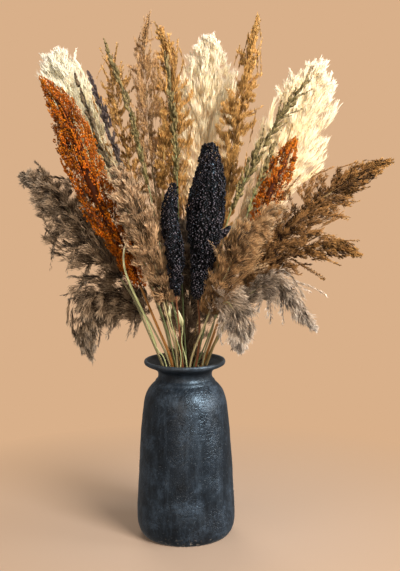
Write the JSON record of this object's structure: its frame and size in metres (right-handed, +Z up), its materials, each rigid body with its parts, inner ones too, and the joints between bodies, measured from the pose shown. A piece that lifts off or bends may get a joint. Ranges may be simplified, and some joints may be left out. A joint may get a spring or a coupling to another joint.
{
  "type": "vase of dried pampas grass",
  "caption": "Tall dark ceramic vase with a flared lip, holding a fanned arrangement of dried pampas plumes, reed plumes, sorghum heads and grass spikes.",
  "frame": {"origin": "Centre of the flat base of the vase, on the surface that it stands on.", "axes": "+Z runs up the axis of the vase; +X is to the right and -Y is towards the viewer when the arrangement is seen from its front."},
  "size_m": [0.7482, 0.2973, 1.0618],
  "materials": {
    "ceramic_dark": "satin",
    "plume_cream": "matte",
    "plume_beige": "matte",
    "plume_taupe": "matte",
    "reed_tan": "matte",
    "reed_brown": "matte",
    "seed_orange": "matte",
    "seed_black": "satin",
    "spike_green": "matte",
    "spike_purple": "matte",
    "leaf_pale_green": "matte"
  },
  "bodies": {
    "root": {"vase": "ceramic_dark", "black_sorghum_large": "seed_black", "black_sorghum_small": "seed_black", "orange_sorghum_left": "seed_orange", "orange_sorghum_right": "seed_orange", "leaf_blade": "leaf_pale_green", "bud_stem_left": "leaf_pale_green", "bud_stem_right": "leaf_pale_green", "grey_green_spike_left": "spike_green", "purple_spike_left": "spike_purple", "green_spike_tall": "spike_green", "green_spike_centre": "spike_green", "green_spike_right": "spike_green", "green_spike_right_short": "spike_green", "brown_reed_short": "reed_brown", "beige_pampas_front": "plume_beige", "taupe_pampas_front_right": "plume_beige", "grey_pampas_hanging_right": "plume_taupe", "golden_reed_right": "reed_tan", "tan_reed_left": "reed_tan", "taupe_reed_centre": "reed_brown", "golden_reed_centre": "reed_tan", "brown_plume_right": "reed_brown", "brown_plume_lower_right": "reed_brown", "taupe_plume_drooping_right": "plume_taupe", "taupe_pampas_left": "plume_taupe", "taupe_pampas_lower_left": "plume_taupe", "taupe_pampas_centre_low": "plume_taupe", "cream_pampas_left": "plume_cream", "cream_pampas_right": "plume_cream", "cream_pampas_centre": "plume_cream"}
  },
  "joints": []
}
